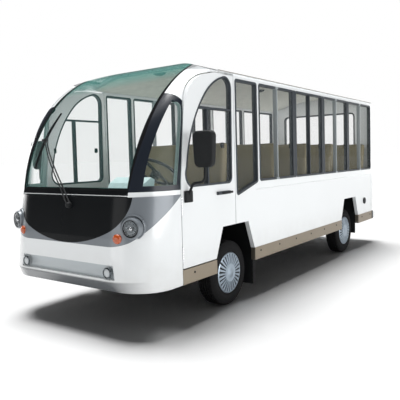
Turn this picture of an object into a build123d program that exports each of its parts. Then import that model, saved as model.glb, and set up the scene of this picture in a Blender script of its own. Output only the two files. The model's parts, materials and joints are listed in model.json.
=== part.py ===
from build123d import *
import os
from math import acos, atan2, cos, radians, sin, sqrt

# Enclosed electric minibus, mm. X runs forward from the front axle, Y to the left, Z up from the road.
# Every piece is moved along X at the end, so that the origin is under the middle of the overall box.

HALF_WIDTH = 793
WALL = 40
NOSE_X = 1222
SEAM_X = 765
PILLAR_X = -2
BODY_REAR_X = -3745
BUMPER_REAR_X = -3905
FRONT_AXLE_X = -(NOSE_X + BUMPER_REAR_X) / 2
REAR_AXLE_X = -2815

SILL_LOW = 345
SILL_TOP = 457
WAIST = 1022
BELT = 1056
WINDOW_TOP = 1950
ROOF_EDGE = 1982
ROOF_TOP = 2140
ROOF_SKIN = 30
FLOOR_LOW = 470
FLOOR_TOP = 500
GAP = 8

TYRE_R = 281
TYRE_WIDTH = 165
RIM_R = 172
WHEEL_Y = 637
KINGPIN_Y = 560
SPINDLE_R = 22
STEER_ARM = 120
TIE_ROD_Z = 257

# Windscreen curve: two arcs that meet at a point where the glass leans by the join angle
SCREEN_JOIN_X = 804
SCREEN_JOIN_Z = 1700
SCREEN_JOIN_ANGLE = radians(50.5)
SCREEN_LOW_R = 1523
SCREEN_BASE_ANGLE = radians(80)
SCREEN_TOP_X = 180
SCREEN_LOW_Z = 1068
SCREEN_LOW_HALF = 598
SCREEN_HIGH_HALF = 640
GLASS = 7

ROOF_BEND_R = (ROOF_TOP - SCREEN_JOIN_Z) / (1 - cos(SCREEN_JOIN_ANGLE))
ROOF_BEND_X = SCREEN_JOIN_X - ROOF_BEND_R * sin(SCREEN_JOIN_ANGLE)
ROOF_BEND_Z = ROOF_TOP - ROOF_BEND_R
SCREEN_LOW_CX = SCREEN_JOIN_X - SCREEN_LOW_R * sin(SCREEN_JOIN_ANGLE)
SCREEN_LOW_CZ = SCREEN_JOIN_Z - SCREEN_LOW_R * cos(SCREEN_JOIN_ANGLE)
CROWN_RISE = ROOF_TOP - ROOF_EDGE
CROWN_R = (HALF_WIDTH ** 2 + CROWN_RISE ** 2) / (2 * CROWN_RISE)

# Lower front moulding: height, nose, corner radius
MASK_LEVELS = [
    (SILL_LOW, 1168, 280),
    (420, NOSE_X, 340),
    (730, 1192, 340),
    (WAIST, 1150, 340),
]
MASK_SKIN = 38

# Upper front corners: height, half width of the glass, where the flat side ends
CORNER_LEVELS = [
    (WAIST, 596, 765),
    (1240, 620, 765),
    (1470, 640, 750),
    (1700, 640, 640),
    (1860, 640, 485),
    (ROOF_EDGE, 640, 300),
]
CORNER_SKIN = 32

# Side windows: front edge, rear edge, bottom at the front, bottom at the rear, number of panes
SIDE_WINDOWS = [
    (-20, -400, 946, 1051, 1),
    (-431, -1163, BELT, BELT, 2),
    (-1211, -1926, BELT, BELT, 2),
    (-1970, -2741, BELT, BELT, 2),
    (-2777, -3672, BELT, BELT, 2),
]
FRAME = 20
BAR = 16
PANE = 6

# Wheel arches: top height, half width at the top and at the sill
ARCH_TOP = 713
ARCH_TOP_HALF = 207
ARCH_LOW_HALF = 312


def outline(start, *steps):
    """Closed face; a step is a point (line) or a pair of points (arc through the first to the second)."""
    edges = []
    here = start
    for step in steps:
        if isinstance(step[0], tuple):
            edges.append(ThreePointArc(here, step[0], step[1]))
            here = step[1]
        else:
            edges.append(Line(here, step))
            here = step
    if here != start:
        edges.append(Line(here, start))
    return make_face(edges)


def side_prism(face, y_low, y_high):
    """Face drawn in (X, Z), pushed along Y."""
    plane = Plane(origin=(0, y_low, 0), x_dir=(1, 0, 0), z_dir=(0, -1, 0))
    return extrude(plane * face, amount=-(y_high - y_low))


def front_prism(face, x_low, x_high):
    """Face drawn in (Y, Z), pushed along X."""
    plane = Plane(origin=(x_low, 0, 0), x_dir=(0, 1, 0), z_dir=(1, 0, 0))
    return extrude(plane * face, amount=x_high - x_low)


def block(x_low, x_high, y_low, y_high, z_low, z_high):
    """Box between two corners."""
    centre = Pos((x_low + x_high) / 2, (y_low + y_high) / 2, (z_low + z_high) / 2)
    return centre * Box(x_high - x_low, y_high - y_low, z_high - z_low)


def rod_y(x, y_low, y_high, z, radius):
    """Round bar along Y."""
    return Pos(x, (y_low + y_high) / 2, z) * Rot(90, 0, 0) * Cylinder(radius, y_high - y_low)


def upright(x, y, z_low, z_high, radius):
    """Round bar along Z."""
    return Pos(x, y, (z_low + z_high) / 2) * Cylinder(radius, z_high - z_low)


def both(shape):
    """A left piece with its mirror image."""
    return shape + mirror(shape, about=Plane.XZ)


def screen_point(angle, inset):
    """Point of the windscreen curve, at an angle from the vertical."""
    if angle <= SCREEN_JOIN_ANGLE:
        radius = ROOF_BEND_R - inset
        return (ROOF_BEND_X + radius * sin(angle), ROOF_BEND_Z + radius * cos(angle))
    radius = SCREEN_LOW_R - inset
    return (SCREEN_LOW_CX + radius * sin(angle), SCREEN_LOW_CZ + radius * cos(angle))


def screen_x(z, inset):
    """How far forward the windscreen curve is at a height."""
    if z >= screen_point(SCREEN_JOIN_ANGLE, inset)[1]:
        angle = acos((z - ROOF_BEND_Z) / (ROOF_BEND_R - inset))
    else:
        angle = acos((z - SCREEN_LOW_CZ) / (SCREEN_LOW_R - inset))
    return screen_point(angle, inset)[0]


def upper_solid(inset):
    """Space under the roof crown and behind the windscreen curve."""
    rear = BODY_REAR_X - 50
    high = screen_point(SCREEN_JOIN_ANGLE / 2, inset)
    join = screen_point(SCREEN_JOIN_ANGLE, inset)
    low = screen_point((SCREEN_JOIN_ANGLE + SCREEN_BASE_ANGLE) / 2, inset)
    base = screen_point(SCREEN_BASE_ANGLE, inset)
    top = ROOF_TOP - inset
    profile = outline((rear, 900), (rear, top), (ROOF_BEND_X, top), (high, join), (low, base), (base[0], 900))
    half = HALF_WIDTH - inset
    edge = ROOF_TOP - CROWN_R + sqrt((CROWN_R - inset) ** 2 - half ** 2)
    crown = outline((-half, 900), (-half, edge), ((0, top), (half, edge)), (half, 900))
    return side_prism(profile, -900, 900) & front_prism(crown, rear, 1300)


def mask_face(z, nose, radius, inset, back):
    """Plan of the lower front at a height."""
    half = HALF_WIDTH - inset
    front = nose - inset
    bend = radius - inset
    cut = bend * (1 - sqrt(0.5))
    face = outline(
        (back, -half),
        (front - bend, -half),
        ((front - cut, -half + cut), (front, -half + bend)),
        (front, half - bend),
        ((front - cut, half - cut), (front - bend, half)),
        (back, half),
    )
    return Pos(0, 0, z) * face


def mask_solid(inset, back):
    """Lower front moulding as a solid."""
    return loft([mask_face(z, nose, radius, inset, back) for z, nose, radius in MASK_LEVELS], ruled=True)


def corner_face(z, y_edge, x_flat, inset):
    """Plan of the left upper corner at a height: flat side, arc, flat front."""
    side = HALF_WIDTH - inset
    front = screen_x(z, inset)
    run = front - x_flat
    drop = side - y_edge
    radius = (run * run + drop * drop) / (2 * drop)
    half_turn = atan2(run, radius - drop) / 2
    middle = (x_flat + radius * sin(half_turn), side - radius + radius * cos(half_turn))
    back = 150 - inset
    inner = 540 - inset
    face = outline((back, side), (x_flat, side), (middle, (front, y_edge)), (front, inner), (back, inner))
    return Pos(0, 0, z) * face


def corner_solid(inset):
    """Left upper corner as a solid."""
    return loft([corner_face(z, y_edge, x_flat, inset) for z, y_edge, x_flat in CORNER_LEVELS])


def arch_face(x):
    """Wheel arch opening in the side wall."""
    return outline(
        (x - ARCH_LOW_HALF, SILL_LOW - 60),
        (x - ARCH_LOW_HALF, SILL_TOP),
        (x - ARCH_TOP_HALF, ARCH_TOP),
        (x + ARCH_TOP_HALF, ARCH_TOP),
        (x + ARCH_LOW_HALF, SILL_TOP),
        (x + ARCH_LOW_HALF, SILL_LOW - 60),
    )


def window_face(front, rear, low_front, low_rear):
    """Side window with rounded corners."""
    face = make_face(Polyline((front, low_front), (front, WINDOW_TOP), (rear, WINDOW_TOP), (rear, low_rear), close=True))
    return fillet(face.vertices(), 30)


def door_face():
    """Outline of a front door, cut away over the wheel."""
    front = SEAM_X - GAP
    rear = PILLAR_X + GAP
    return outline(
        (front, SILL_TOP + GAP),
        (front, 1100),
        (700, 1680),
        ((585, 1858), (390, 1945)),
        ((305, 1962), (220, 1966)),
        (rear, 1966),
        (rear, ARCH_TOP),
        (ARCH_TOP_HALF, ARCH_TOP),
        (ARCH_LOW_HALF, SILL_TOP + GAP),
    )


def door_window_face():
    """Arched window of a front door."""
    return outline(
        (110, 1066),
        (636, 1066),
        ((680, 1096), (692, 1220)),
        ((632, 1465), (448, 1772)),
        ((320, 1882), (175, 1944)),
        ((70, 1926), (38, 1850)),
        (50, 1120),
        ((66, 1084), (110, 1066)),
    )


os.makedirs("parts", exist_ok=True)
pieces = {}

# Lower front: white moulding, black panel under the glass, grey band with the lamps
mask = mask_solid(0, SEAM_X) - mask_solid(MASK_SKIN, SEAM_X - 60)
band_zone = side_prism(
    outline(
        (700, 1063),
        (763, 1013),
        ((1035, 804), (1150, 704)),
        (1215, 660),
        (1330, 660),
        (1330, 1100),
        (700, 1100),
    ),
    -900,
    900,
)
panel_zone = front_prism(
    outline(
        (-625, 1100),
        (-625, WAIST),
        ((-572, 869), (-439, 766)),
        ((0, 674), (439, 766)),
        ((572, 869), (625, WAIST)),
        (625, 1100),
    ),
    700,
    1400,
)
bumper_recess = front_prism(outline((-530, 440), (530, 440), (510, 543), (-510, 543)), 1190, 1300)
HEAD_LAMP = (1128, 632, 806, 70)
SIGNAL_LAMP = (1178, 538, 732, 35)
FOG_LAMP_Y = 463
FOG_LAMP_Z = 489
FOG_LAMP_R = 40


def lamp_axis(x, y, z, turn):
    """Frame whose Z points out of the left front corner."""
    return Pos(x, y, z) * Rot(0, 0, turn) * Rot(0, 90, 0)


head_axis = lamp_axis(HEAD_LAMP[0], HEAD_LAMP[1], HEAD_LAMP[2], 18)
signal_axis = lamp_axis(SIGNAL_LAMP[0], SIGNAL_LAMP[1], SIGNAL_LAMP[2], 16)
head_seat = both(head_axis * Cylinder(HEAD_LAMP[3], 220))
signal_seat = both(signal_axis * Cylinder(SIGNAL_LAMP[3], 160))
upper_mask = mask & band_zone
pieces["front_mask"] = mask - band_zone - bumper_recess - head_seat - signal_seat
pieces["nose_panel"] = upper_mask & panel_zone
pieces["lamp_band"] = upper_mask - panel_zone - head_seat - signal_seat

head_can = Pos(0, 0, -20) * Cylinder(HEAD_LAMP[3], 84) - Pos(0, 0, 24) * Cylinder(HEAD_LAMP[3] - 9, 44)
pieces["headlamps"] = both(head_axis * head_can)
pieces["indicators"] = both(signal_axis * (Pos(0, 0, -14) * Cylinder(SIGNAL_LAMP[3], 44)))
fog_lens = Pos(1203, FOG_LAMP_Y, FOG_LAMP_Z) * Rot(0, 90, 0) * Cylinder(FOG_LAMP_R, 26)
pieces["fog_lamps"] = both(fog_lens)

# Upper front: windscreen, black strip under it, white corners, quarter windows
upper = upper_solid(0)
screen_zone = front_prism(
    outline(
        (-SCREEN_LOW_HALF, WAIST - 40),
        (SCREEN_LOW_HALF, WAIST - 40),
        (SCREEN_LOW_HALF, SCREEN_LOW_Z),
        (SCREEN_HIGH_HALF, 1460),
        (SCREEN_HIGH_HALF, ROOF_TOP + 60),
        (-SCREEN_HIGH_HALF, ROOF_TOP + 60),
        (-SCREEN_HIGH_HALF, 1460),
        (-SCREEN_LOW_HALF, SCREEN_LOW_Z),
    ),
    SCREEN_TOP_X,
    1400,
)
low_cut = block(100, 1400, -900, 900, WAIST, SCREEN_LOW_Z)
screen_sheet = (upper - upper_solid(GLASS)) & screen_zone
pieces["windscreen"] = screen_sheet - block(100, 1400, -900, 900, 800, SCREEN_LOW_Z)
pieces["screen_sill"] = (upper - upper_solid(CORNER_SKIN)) & screen_zone & low_cut

corner = corner_solid(0)
door = door_face()
door_space = side_prism(offset(door, amount=GAP), 500, 900)
corner_shell = corner - corner_solid(CORNER_SKIN) - screen_zone - door_space
corner_shell = corner_shell & block(240, 1400, 500, 900, WAIST, ROOF_EDGE)
quarter_outer = side_prism(
    outline((600, 1056), (1300, 1056), (1300, 1790), (735, 1780), (690, 1700), (600, 1700)), 500, 900
)
quarter_inner = side_prism(
    outline((808, 1096), (1046, 1096), ((956, 1400), (752, 1722)), ((736, 1704), (722, 1672))), 500, 900
)
pieces["front_corners"] = both(corner_shell - quarter_outer)
pieces["quarter_frames"] = both((corner_shell & quarter_outer) - quarter_inner)
pieces["quarter_glass"] = both((corner_solid(6) - corner_solid(6 + PANE)) & quarter_inner)

# Roof with its rain gutters
roof_plan = Pos(0, 0, ROOF_EDGE) * outline(
    (BODY_REAR_X + WALL, -HALF_WIDTH),
    (300, -HALF_WIDTH),
    ((410, -748), (460, -640)),
    (460, 640),
    ((410, 748), (300, HALF_WIDTH)),
    (BODY_REAR_X + WALL, HALF_WIDTH),
)
roof_space = extrude(roof_plan, amount=200)
gutter = block(BODY_REAR_X + WALL, 240, HALF_WIDTH - 20, HALF_WIDTH + 12, ROOF_EDGE, ROOF_EDGE + 12)
pieces["roof"] = ((upper - upper_solid(ROOF_SKIN)) & roof_space) - screen_zone + both(gutter)

# Side walls, windows and rear wall
INNER_Y = HALF_WIDTH - WALL
arches = side_prism(arch_face(0), 700, 900) + side_prism(arch_face(REAR_AXLE_X), 700, 900)
side = block(BODY_REAR_X + WALL, PILLAR_X, INNER_Y, HALF_WIDTH, SILL_TOP, ROOF_EDGE) - arches
frames = []
panes = []
for x_front, x_rear, low_front, low_rear, count in SIDE_WINDOWS:
    hole = window_face(x_front, x_rear, low_front, low_rear)
    light = offset(hole, amount=-FRAME)
    side -= side_prism(hole, 700, 900)
    middle = (x_front + x_rear) / 2
    bar = Rectangle(BAR, 2000)
    if count == 2:
        light = light - Pos(middle, 1500) * bar
    frames.append(side_prism(hole - light, INNER_Y, HALF_WIDTH + 3))
    for index, face in enumerate(light.faces()):
        level = INNER_Y + 12 + 12 * index
        panes.append(side_prism(Sketch() + face, level, level + PANE))
pieces["side_walls"] = both(side)
pieces["window_frames"] = both(Part() + frames)
pieces["window_glass"] = both(Part() + panes)

rear_hole = fillet(Rectangle(1120, 640).vertices(), 60)
rear_light = offset(rear_hole, amount=-FRAME)
rear_spot = Pos(0, 1560)
rear_zone = block(BODY_REAR_X, BODY_REAR_X + WALL, -900, 900, SILL_TOP, 2300)
rear_cut = front_prism(rear_spot * rear_hole, BODY_REAR_X - 50, BODY_REAR_X + 200)
pieces["rear_wall"] = (upper_solid(0) & block(-4000, -3000, -900, 900, 950, 2300) & rear_zone) + block(
    BODY_REAR_X, BODY_REAR_X + WALL, -HALF_WIDTH, HALF_WIDTH, SILL_TOP, 960
) - rear_cut
rear_ring = front_prism(rear_spot * (rear_hole - rear_light), BODY_REAR_X - 4, BODY_REAR_X + WALL)
pieces["rear_frame"] = rear_ring
pieces["rear_glass"] = front_prism(rear_spot * rear_light, BODY_REAR_X + 10, BODY_REAR_X + 10 + PANE)

# Sills, bumper, lamps and cap at the back
SILL_RUNS = [
    (ARCH_LOW_HALF, SEAM_X),
    (REAR_AXLE_X + ARCH_LOW_HALF, -ARCH_LOW_HALF),
    (BODY_REAR_X, REAR_AXLE_X - ARCH_LOW_HALF),
]
sills = [block(low, high, INNER_Y, HALF_WIDTH + 4, SILL_LOW, SILL_TOP) for low, high in SILL_RUNS]
pieces["sill_strips"] = both(Part() + sills)
bumper_bar = block(BUMPER_REAR_X, BODY_REAR_X, -700, 700, 335, 470)
pieces["rear_bumper"] = fillet(bumper_bar.edges().filter_by(Axis.Z).group_by(Axis.X)[0], 90)
pieces["tail_lamps"] = both(block(BODY_REAR_X - 22, BODY_REAR_X, 650, 760, 620, 920))
pieces["charge_cap"] = rod_y(-3373, HALF_WIDTH, HALF_WIDTH + 14, 630, 42)

# Front doors with their windows, handles and mirrors
door_window = door_window_face()
door_light = offset(door_window, amount=-15)
door_bars = Pos(400, 1676) * Rectangle(1000, BAR) + Pos(400, 1360) * Rectangle(BAR, 616)
door_panes = (door_light - door_bars).faces()
door_panel = side_prism(door, INNER_Y, HALF_WIDTH) - side_prism(door_window, 700, 900)
door_trim = side_prism(door_window - (door_light - door_bars), INNER_Y, HALF_WIDTH + 3)
handle = block(110, 290, HALF_WIDTH, HALF_WIDTH + 22, 982, 1008)
door_glass = Part() + [side_prism(Sketch() + face, 770, 770 + PANE) for face in door_panes]
MIRROR_ARM = [(686, 800, 1000), (690, 880, 1030), (680, 962, 1100), (676, 966, 1240)]
MIRROR_ARM_R = 10
mirror_path = FilletPolyline(*MIRROR_ARM, radius=36)
mirror_arm = sweep(Plane(mirror_path @ 0, z_dir=mirror_path % 0) * Circle(MIRROR_ARM_R), path=mirror_path)
mirror_foot = block(642, 728, HALF_WIDTH, HALF_WIDTH + 24, 956, 1044)
mirror_head = fillet(Box(60, 165, 270).edges(), 22)
mirror_set = mirror_foot + mirror_arm + Pos(676, 966, 1350) * mirror_head
for side_name, turn in (("left", lambda shape: shape), ("right", lambda shape: mirror(shape, about=Plane.XZ))):
    pieces["door_" + side_name] = turn(door_panel)
    pieces["door_trim_" + side_name] = turn(door_trim + handle)
    pieces["door_glass_" + side_name] = turn(door_glass)
    pieces["mirror_" + side_name] = turn(mirror_set)

# Floor, wheel housings, frame, battery
FRONT_HOUSING = (-360, 360, 385)
REAR_HOUSING = (REAR_AXLE_X - 330, REAR_AXLE_X + 330, 520)
housings = []
floor = block(BODY_REAR_X + WALL, 745, -INNER_Y, INNER_Y, FLOOR_LOW, FLOOR_TOP)
for x_low, x_high, y_in in (FRONT_HOUSING, REAR_HOUSING):
    shell = block(x_low, x_high, y_in, INNER_Y, SILL_LOW, ARCH_TOP + 12)
    shell -= block(x_low + 8, x_high - 8, y_in + 8, INNER_Y + 1, SILL_LOW - 1, ARCH_TOP)
    flap = block(x_low, x_low + 8, 560, 745, 208, SILL_LOW)
    housings.append(shell + flap)
    floor -= both(block(x_low, x_high, y_in, INNER_Y + 1, FLOOR_LOW - 1, FLOOR_TOP + 1))
pieces["wheel_housings"] = both(Part() + housings)
pieces["floor"] = floor

RAIL = (300, 360)
RAIL_LOW = 370
CROSS_X = [1040, 520, -520, -1300, -2100, -3300]
rails = both(block(-3700, 1100, RAIL[0], RAIL[1], RAIL_LOW, FLOOR_LOW))
cross = [block(x - 30, x + 30, -RAIL[0], RAIL[0], RAIL_LOW + 20, FLOOR_LOW) for x in CROSS_X]
outriggers = [block(x - 25, x + 25, RAIL[1], INNER_Y, FLOOR_LOW - 50, FLOOR_LOW) for x in (-900, -1900, -3400)]
hangers = []
springs = []
for x in (0, REAR_AXLE_X):
    for end in (-430, 430):
        hangers.append(block(x + end - 25, x + end + 25, RAIL[0], RAIL[1], 345, RAIL_LOW))
    leaf = outline((x - 430, 345), ((x, 322), (x + 430, 345)), (x + 430, 331), ((x, 308), (x - 430, 331)))
    springs.append(side_prism(leaf, RAIL[0] + 5, RAIL[1] - 5))
pieces["frame_rails"] = rails + both(Part() + hangers)
pieces["cross_members"] = Part() + cross + both(Part() + outriggers)
pieces["leaf_springs"] = both(Part() + springs)
pieces["battery"] = block(-2000, -700, -290, 290, 300, 390)

# Front axle, knuckles, tie rod, rear axle with its motor
beam = rod_y(0, -KINGPIN_Y, KINGPIN_Y, TYRE_R, 27)
bosses = both(upright(0, KINGPIN_Y, TYRE_R - 30, TYRE_R + 30, 27))
pads = both(block(-45, 45, RAIL[0] + 5, RAIL[1] - 5, TYRE_R, 311))
leaf_bed = both(Part() + springs)
pieces["front_axle"] = beam + bosses + pads - leaf_bed
plates = []
for z in (TYRE_R - 50, TYRE_R + 30.4):
    plates.append(upright(0, KINGPIN_Y, z, z + 19.6, 30))
    plates.append(block(-30, 30, KINGPIN_Y, 604, z, z + 19.6))
web = block(-30, 30, 592.5, 604, TYRE_R - 50, TYRE_R + 50)
spindle = rod_y(0, 604, 690, TYRE_R, SPINDLE_R)
arm = block(-STEER_ARM, 0, KINGPIN_Y - 14, KINGPIN_Y + 14, TYRE_R - 50, TYRE_R - 34)
arm_end = upright(-STEER_ARM, KINGPIN_Y, TYRE_R - 50, TYRE_R - 34, 20)
knuckle = Part() + plates + web + spindle + arm + arm_end
pieces["knuckle_left"] = knuckle
pieces["knuckle_right"] = mirror(knuckle, about=Plane.XZ)
rod_end = upright(-STEER_ARM, KINGPIN_Y, TYRE_R - 33.6, TYRE_R - 14, 17)
pieces["tie_rod"] = both(rod_end) + rod_y(-STEER_ARM, -KINGPIN_Y, KINGPIN_Y, TIE_ROD_Z, 9)
rear_tube = rod_y(REAR_AXLE_X, -604, 604, TYRE_R, 27) + rod_y(REAR_AXLE_X, -690, 690, TYRE_R, SPINDLE_R)
motor = rod_y(REAR_AXLE_X + 60, -150, 150, TYRE_R + 10, 110)
rear_pads = Pos(REAR_AXLE_X, 0, 0) * pads
pieces["rear_axle"] = rear_tube + motor + rear_pads - leaf_bed

# Wheels: tyre and dished disc with its cover
HALF_TYRE = TYRE_WIDTH / 2
tyre_section = make_face(
    [
        Line((RIM_R, -70), (RIM_R, 70)),
        ThreePointArc((RIM_R, 70), (220, HALF_TYRE), (262, 70)),
        ThreePointArc((262, 70), (276, 64), (TYRE_R - 2, 52)),
        ThreePointArc((TYRE_R - 2, 52), (TYRE_R, 0), (TYRE_R - 2, -52)),
        ThreePointArc((TYRE_R - 2, -52), (276, -64), (262, -70)),
        ThreePointArc((262, -70), (220, -HALF_TYRE), (RIM_R, -70)),
    ]
)
disc_section = outline(
    (SPINDLE_R + 0.4, -28),
    (60, -28),
    (60, 20),
    (140, 30),
    (158, -66),
    (158, -72),
    (RIM_R, -72),
    (RIM_R, 72),
    (150, 74),
    (60, 84),
    (0, 84),
    (0, 56),
    (SPINDLE_R + 0.4, 56),
)


def spun(section, x):
    """Section drawn in (radius, width), turned about a wheel's own axle on the left."""
    plane = Plane(origin=(x, WHEEL_Y, TYRE_R), x_dir=(1, 0, 0), z_dir=(0, 0, 1))
    return revolve(plane * section, axis=Axis((x, WHEEL_Y, TYRE_R), (0, 1, 0)))


for end_name, x in (("front", 0), ("rear", REAR_AXLE_X)):
    tyre = spun(tyre_section, x)
    disc = spun(disc_section, x)
    pieces["tyre_" + end_name + "_left"] = tyre
    pieces["tyre_" + end_name + "_right"] = mirror(tyre, about=Plane.XZ)
    pieces["disc_" + end_name + "_left"] = disc
    pieces["disc_" + end_name + "_right"] = mirror(disc, about=Plane.XZ)

# Dashboard, steering wheel and seats
dash_low = outline((1130, 760), (1130, WAIST), (764, WAIST), (760, 960), (800, 760))
dash_high = outline((1085, WAIST), (1085, 1036), (960, 1052), (800, 1052), (764, WAIST))
dash_hood = outline((940, 1052), (800, 1052), (780, 1130), (820, 1150), (900, 1110))
dash_body = side_prism(dash_low, -900, 900) & mask_solid(MASK_SKIN, SEAM_X - 60)
dash_body = dash_body - head_seat - signal_seat
pieces["dashboard"] = dash_body + side_prism(dash_high, -590, 590) + side_prism(dash_hood, 200, 560)
STEER_CENTRE = (560, 390, 1180)
steer_axis = Pos(STEER_CENTRE[0], STEER_CENTRE[1], STEER_CENTRE[2]) * Rot(0, -35, 0)
steer_ring = Torus(185, 13)
steer_hub = Pos(0, 0, -25) * Cylinder(38, 50)
steer_bars = Box(360, 26, 14)
steer_column = Pos(0, 0, -200) * Cylinder(22, 350)
steer_body = steer_axis * (steer_ring + steer_hub + steer_bars + steer_column)
pieces["steering_wheel"] = steer_body - pieces["dashboard"]


SEAT_BASE = 850
SEAT_TOP = 960
BACK_TOP = 1420

# Seats: back of the cushion, right edge, left edge, plinth bottom, plinth inset
SEATS = [
    (0, 160, 640, ARCH_TOP + 12, 40),
    (0, -400, 80, FLOOR_TOP, 40),
    (-820, 60, 730, FLOOR_TOP, 40),
    (-820, -730, -330, FLOOR_TOP, 40),
    (-1560, 60, 730, FLOOR_TOP, 40),
    (-1560, -730, -330, FLOOR_TOP, 40),
    (-2300, 60, 730, FLOOR_TOP, 40),
    (-2300, -730, -330, FLOOR_TOP, 40),
    (-3480, -730, 730, FLOOR_TOP, 230),
]
cushions = []
backs = []
plinths = []
for x, y_low, y_high, low, inset in SEATS:
    cushions.append(fillet(block(x + 20, x + 450, y_low, y_high, SEAT_BASE, SEAT_TOP).edges(), 30))
    lean = outline((x - 85, SEAT_BASE), (x + 15, SEAT_BASE), (x - 60, BACK_TOP), (x - 150, BACK_TOP))
    backs.append(fillet(side_prism(lean, y_low, y_high).edges(), 28))
    plinths.append(block(x - 80, x + 400, y_low + inset, y_high - inset, low, SEAT_BASE))
pieces["seat_cushions"] = Part() + cushions
pieces["seat_backs"] = Part() + backs
pieces["seat_plinths"] = Part() + plinths

# Wiper on the black panel
wiper_foot = Pos(1150, 30, 955) * Rot(0, 90, 0) * Cylinder(22, 60)
pieces["wiper"] = wiper_foot - mask_solid(0, SEAM_X)

for name, shape in pieces.items():
    export_step(Pos(FRONT_AXLE_X, 0, 0) * shape, "parts/" + name + ".step")
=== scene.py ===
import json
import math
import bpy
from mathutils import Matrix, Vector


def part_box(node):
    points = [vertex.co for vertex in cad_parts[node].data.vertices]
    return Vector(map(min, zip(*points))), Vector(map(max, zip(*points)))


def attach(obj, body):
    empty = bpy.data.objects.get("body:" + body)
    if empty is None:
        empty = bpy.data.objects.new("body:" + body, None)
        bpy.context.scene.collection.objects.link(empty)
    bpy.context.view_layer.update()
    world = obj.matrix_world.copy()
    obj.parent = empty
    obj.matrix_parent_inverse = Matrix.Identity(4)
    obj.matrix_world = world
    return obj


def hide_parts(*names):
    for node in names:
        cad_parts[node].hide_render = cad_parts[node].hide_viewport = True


bl_info = {
    "name": "Electric Minibus",
    "version": (1, 0, 0),
    "blender": (4, 5, 0),
    "location": "View3D > Sidebar > Minibus",
    "description": "Dresses the packed minibus with its finishes, soft seats, wheels, lamps and trim",
    "category": "Object",
}

import bpy
from bpy.props import FloatProperty, FloatVectorProperty, IntProperty, PointerProperty
from mathutils import Matrix, Vector

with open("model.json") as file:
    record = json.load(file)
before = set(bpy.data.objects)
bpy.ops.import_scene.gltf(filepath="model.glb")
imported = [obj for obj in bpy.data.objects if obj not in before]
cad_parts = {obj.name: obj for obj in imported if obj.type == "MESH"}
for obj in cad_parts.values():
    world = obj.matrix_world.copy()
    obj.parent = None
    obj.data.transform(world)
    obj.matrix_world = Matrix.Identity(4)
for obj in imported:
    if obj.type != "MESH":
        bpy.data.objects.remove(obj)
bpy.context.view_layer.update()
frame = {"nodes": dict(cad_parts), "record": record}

TYRE_LOW, TYRE_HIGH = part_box("tyre_front_left")
REAR_LOW, REAR_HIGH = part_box("tyre_rear_left")
FRONT_AXLE_X = (TYRE_LOW[0] + TYRE_HIGH[0]) / 2
REAR_AXLE_X = (REAR_LOW[0] + REAR_HIGH[0]) / 2
WHEEL_Y = (TYRE_LOW[1] + TYRE_HIGH[1]) / 2
WHEEL_R = (TYRE_HIGH[2] - TYRE_LOW[2]) / 2
SIDE_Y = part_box("side_walls")[1][1]
ROOT = "body"
DOOR_BODIES = ("front_door_left", "front_door_right")
SIDES = (("left", 1), ("right", -1))
FLIP = Matrix.Scale(-1, 4, (0, 1, 0))
UP, BACK = (0, 0, 1), (-1, 0, 0)


def at_axle(x, y, z):
    """A point measured forward from the front axle."""
    return Vector((FRONT_AXLE_X + x, y, z))


def turn(degrees, axis):
    return Matrix.Rotation(math.radians(degrees), 4, axis)


def part_way(first, last, share):
    """The point at a share of the way between two points."""
    return tuple(a + (b - a) * share for a, b in zip(first, last))


def colour_setting(name, description, default):
    return FloatVectorProperty(
        name=name, description=description, subtype="COLOR", default=default, min=0, max=1
    )


class MinibusSizes(bpy.types.PropertyGroup):
    tread_depth: FloatProperty(
        name="Tread depth", description="Depth of the tyre grooves", default=0.006, unit="LENGTH"
    )
    cover_slots: IntProperty(
        name="Cover slots", description="Slots round a wheel cover", default=26, min=8, max=60
    )
    cushion_crown: FloatProperty(
        name="Cushion crown", description="How far a seat swells", default=0.022, unit="LENGTH"
    )
    lens_mm: FloatProperty(name="Lens", description="Focal length on a 36 mm sensor", default=46.25)


class MinibusColours(bpy.types.PropertyGroup):
    body: colour_setting("Body", "White gel coat", (0.84, 0.865, 0.875))
    band: colour_setting("Lamp band", "Silver-grey paint", (0.2, 0.222, 0.245))
    seat: colour_setting("Seat cover", "Khaki leather", (0.2, 0.168, 0.085))
    sill: colour_setting("Sill strip", "Plain metal strip", (0.31, 0.265, 0.205))
    glass: colour_setting("Windscreen", "Green tint", (0.1, 0.33, 0.29))


class Wire:
    """A shader value that can be added, scaled and compared."""

    def __init__(self, finish, socket):
        self.finish = finish
        self.socket = socket

    def math(self, operation, other=None, swapped=False, clamp=False):
        sockets = {0: self}
        if other is not None:
            sockets = {0: other, 1: self} if swapped else {0: self, 1: other}
        made = self.finish.add("ShaderNodeMath", {"operation": operation, "use_clamp": clamp}, sockets)
        return Wire(self.finish, made.outputs[0])

    def __add__(self, other):
        return self.math("ADD", other)

    __radd__ = __add__

    def __sub__(self, other):
        return self.math("SUBTRACT", other)

    def __rsub__(self, other):
        return self.math("SUBTRACT", other, swapped=True)

    def __mul__(self, other):
        return self.math("MULTIPLY", other)

    def __truediv__(self, other):
        return self.math("DIVIDE", other)

    def size(self):
        return self.math("ABSOLUTE")

    def clamped(self):
        return self.math("ADD", 0.0, clamp=True)

    def below(self, limit, soft):
        """1 under a limit, 0 above it, with a soft step."""
        return ((limit - self) / soft + 0.5).clamped()

    def above(self, limit, soft):
        """1 over a limit, 0 under it, with a soft step."""
        return ((self - limit) / soft + 0.5).clamped()


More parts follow.
